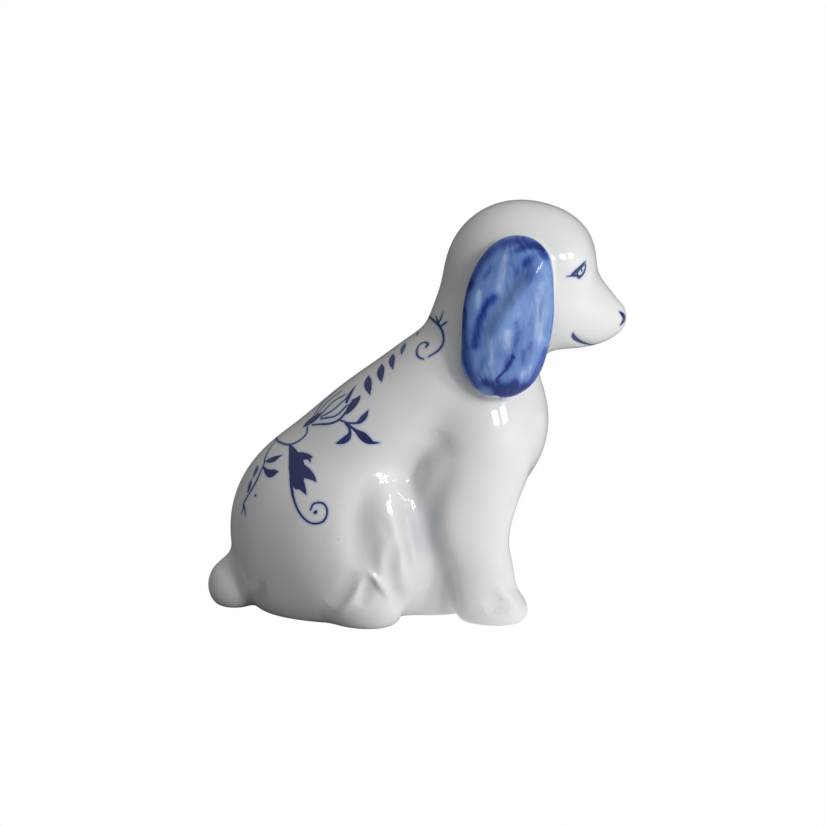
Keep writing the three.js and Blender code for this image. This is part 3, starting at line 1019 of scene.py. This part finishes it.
def make_world():
    """A room lit from the dog's front and this side of it, and dim behind the dog."""
    world = bpy.data.worlds.new("studio")
    world.use_nodes = True
    tree = world.node_tree
    room = tree.nodes["Background"]
    room.inputs["Color"].default_value = (1, 1, 1, 1)
    where = tree.nodes.new("ShaderNodeTexCoord").outputs["Generated"]
    light = add_up(tree, [lobe(tree, where, *row) for row in ROOM_LIGHT])
    tree.links.new(light, room.inputs["Strength"])
    tree.links.new(seen_white(tree, room.outputs[0]), tree.nodes["World Output"].inputs["Surface"])
    return world


def make_floor():
    mesh = bpy.data.meshes.new("floor")
    half, below = 1.5, -1e-4
    corners = [(x * half, y * half, below) for x, y in ((-1, -1), (1, -1), (1, 1), (-1, 1))]
    mesh.from_pydata(corners, [], [(0, 1, 2, 3)])
    floor = bpy.data.objects.new("floor", mesh)
    material = bpy.data.materials.new("floor_paper")
    material.use_nodes = True
    tree = material.node_tree
    paper = tree.nodes["Principled BSDF"]
    paper.inputs["Base Color"].default_value = (0.28, 0.28, 0.28, 1)
    paper.inputs["Roughness"].default_value = 0.9
    paper.inputs["Emission Color"].default_value = (1, 1, 1, 1)
    way = tree.nodes.new("ShaderNodeVectorMath")
    way.operation = "NORMALIZE"
    tree.links.new(tree.nodes.new("ShaderNodeTexCoord").outputs["Object"], way.inputs[0])
    tree.links.new(lobe(tree, way.outputs["Vector"], *FLOOR_LIGHT), paper.inputs["Emission Strength"])
    tree.links.new(seen_white(tree, paper.outputs[0]), tree.nodes["Material Output"].inputs["Surface"])
    mesh.materials.append(material)
    scene.collection.objects.link(floor)


def direction(azimuth, elevation):
    a, e = math.radians(azimuth), math.radians(elevation)
    return Vector((math.sin(a) * math.cos(e), -math.cos(a) * math.cos(e), math.sin(e)))


def softbox(name, azimuth, elevation, distance, size, radiance):
    """A rectangle of even light that faces the figurine; radiance 1 looks as white as paper."""
    data = bpy.data.lights.new(name, "AREA")
    data.shape = "RECTANGLE"
    data.size, data.size_y = size
    data.energy = radiance * size[0] * size[1] * math.pi
    lamp = bpy.data.objects.new(name, data)
    back = direction(azimuth, elevation)
    lamp.location = Vector((0, 0, 0.05)) + back * distance
    lamp.rotation_mode = "QUATERNION"
    lamp.rotation_quaternion = (-back).to_track_quat("-Z", "Y")
    scene.collection.objects.link(lamp)


# azimuth, elevation, cosine where it starts, how fast it rises, and the level at its middle
ROOM_LIGHT = [
    (56, -4, -0.3, 8, 1.95),  # the bright side
    (0, 90, 0.0, 2, 0.55),  # the ceiling
    (-140, 25, 0.0, 4, 0.15),  # a far wall
    (-45, 50, 0.3, 2, 0.18),  # the wall on the near side
]
FLOOR_LIGHT = (56, 0, 0.0, 1, 0.6)  # what the bright side of the table throws back besides
scene.world = make_world()
make_floor()
WINDOW_ELEVATION, WINDOW_DISTANCE, PANE, WINDOW_RADIANCE = 22, 0.9, (0.15, 0.2), 18
softbox("window_left_pane", 37, WINDOW_ELEVATION, WINDOW_DISTANCE, PANE, WINDOW_RADIANCE)
softbox("window_right_pane", 54, WINDOW_ELEVATION, WINDOW_DISTANCE, PANE, WINDOW_RADIANCE)

CAMERA_ELEVATION, CAMERA_DISTANCE, CAMERA_AIM = 12, 0.5, Vector((-0.0004, 0, 0.0466))
camera_data = bpy.data.cameras.new("camera")
camera_data.lens, camera_data.sensor_width = 93.3, 36
camera_data.clip_start, camera_data.clip_end = 0.01, 20
camera = bpy.data.objects.new("camera", camera_data)
away = direction(0, CAMERA_ELEVATION)
camera.location = CAMERA_AIM + away * CAMERA_DISTANCE
camera.rotation_mode = "QUATERNION"
camera.rotation_quaternion = (-away).to_track_quat("-Z", "Y")
scene.collection.objects.link(camera)
scene.camera = camera
scene.view_settings.view_transform = "Standard"
